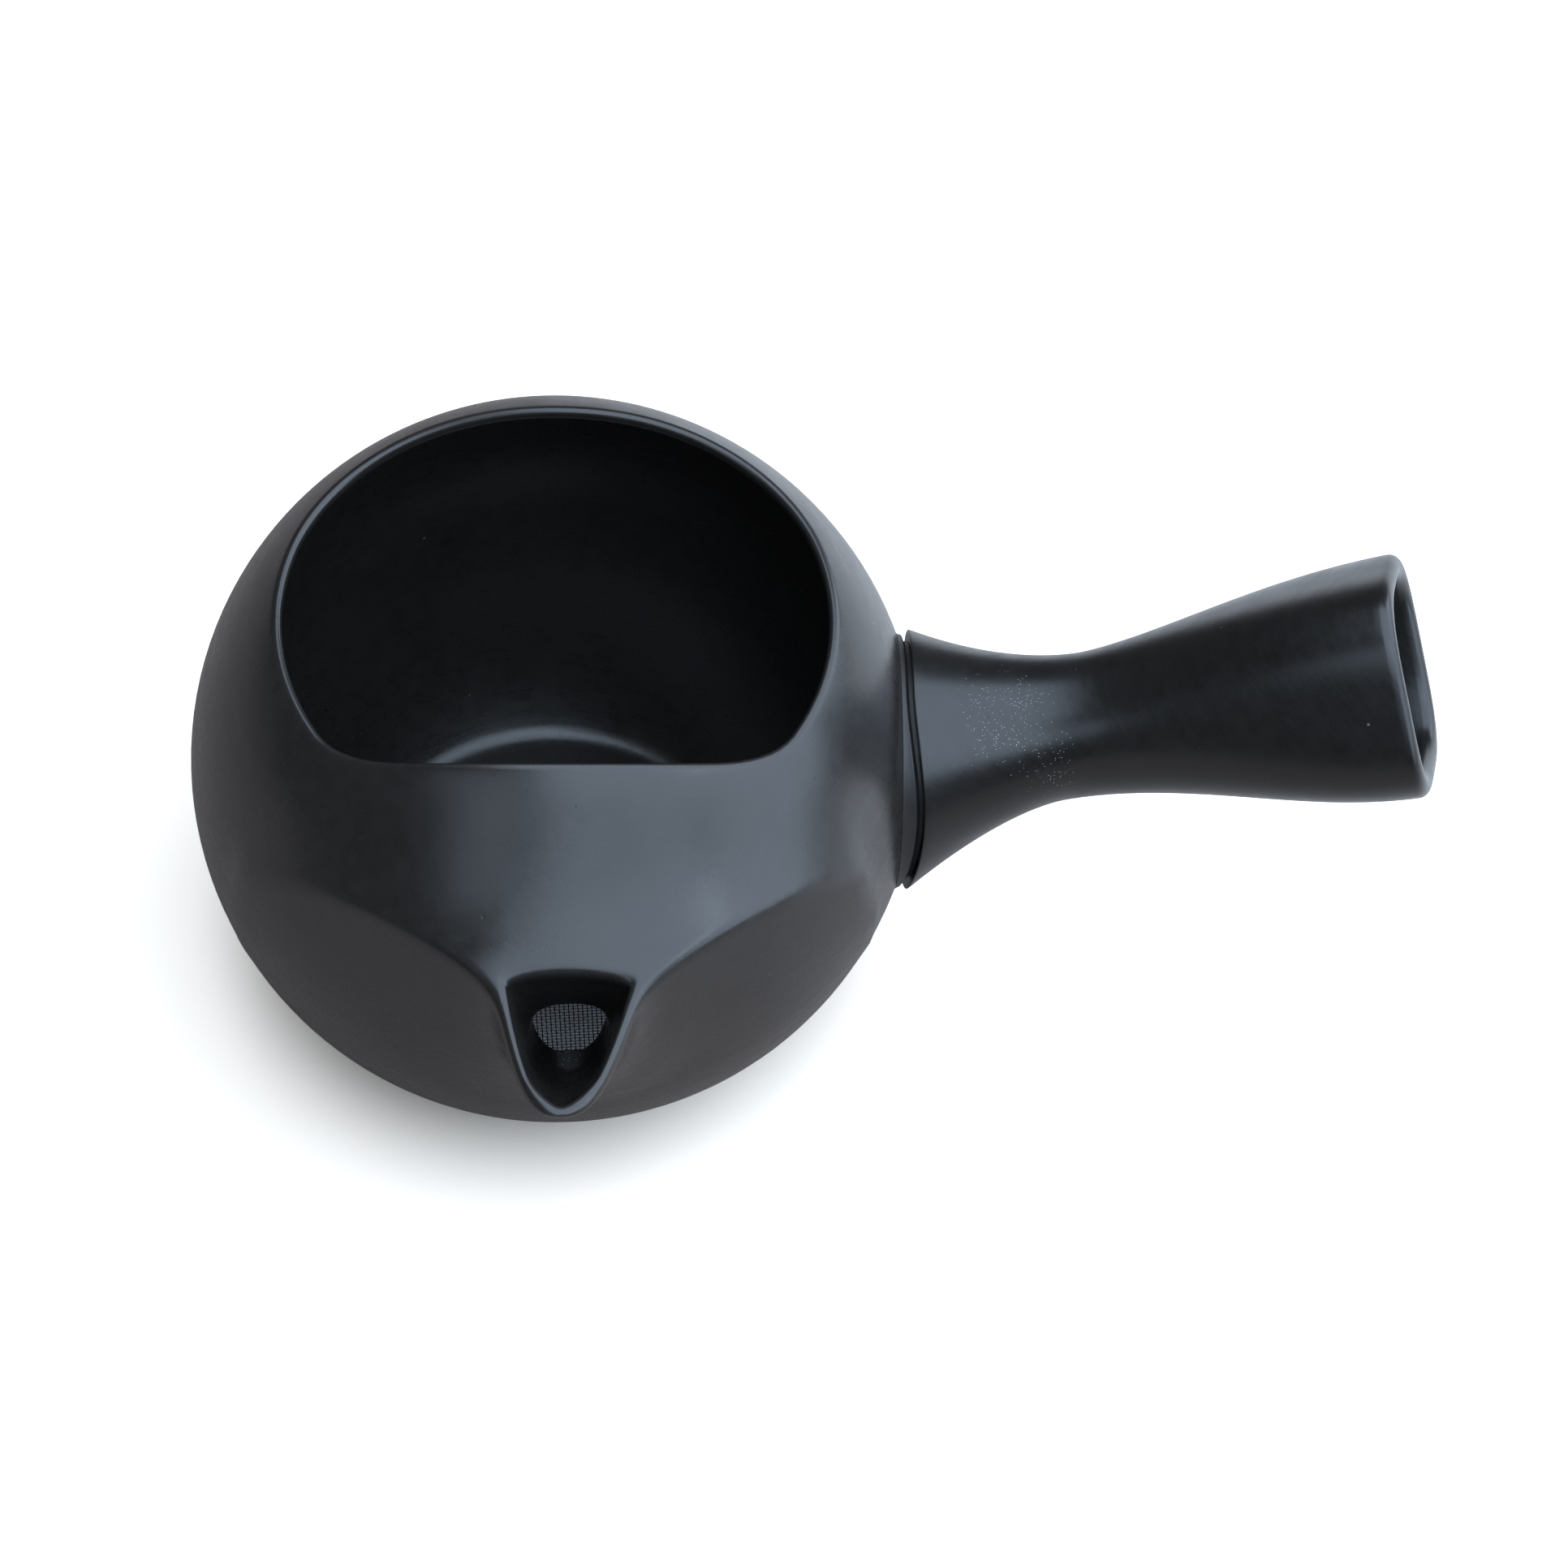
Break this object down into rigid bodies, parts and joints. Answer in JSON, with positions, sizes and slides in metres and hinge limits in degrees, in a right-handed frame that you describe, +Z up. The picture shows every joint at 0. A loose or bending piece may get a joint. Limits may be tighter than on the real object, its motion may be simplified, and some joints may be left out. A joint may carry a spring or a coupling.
{
  "type": "kyusu side handle teapot",
  "caption": "Lidless side-handle teapot of black clay: a thrown ball with a wide mouth, a short open spout, a wire strainer behind it and a hollow flared handle",
  "frame": {"origin": "centre of the flat underside of the foot, on the pot's axis", "axes": "+Z up along the pot's axis, the handle leaves the pot along +X, the spout points along -Y"},
  "size_m": [0.1677, 0.1167, 0.0794],
  "materials": {
    "clay": "satin",
    "slip": "matte",
    "steel": "satin"
  },
  "bodies": {
    "root": {"pot_body": "clay", "handle": "clay", "luting_ring": "slip", "strainer_rim": "steel", "strainer_mesh": "steel"}
  },
  "joints": []
}
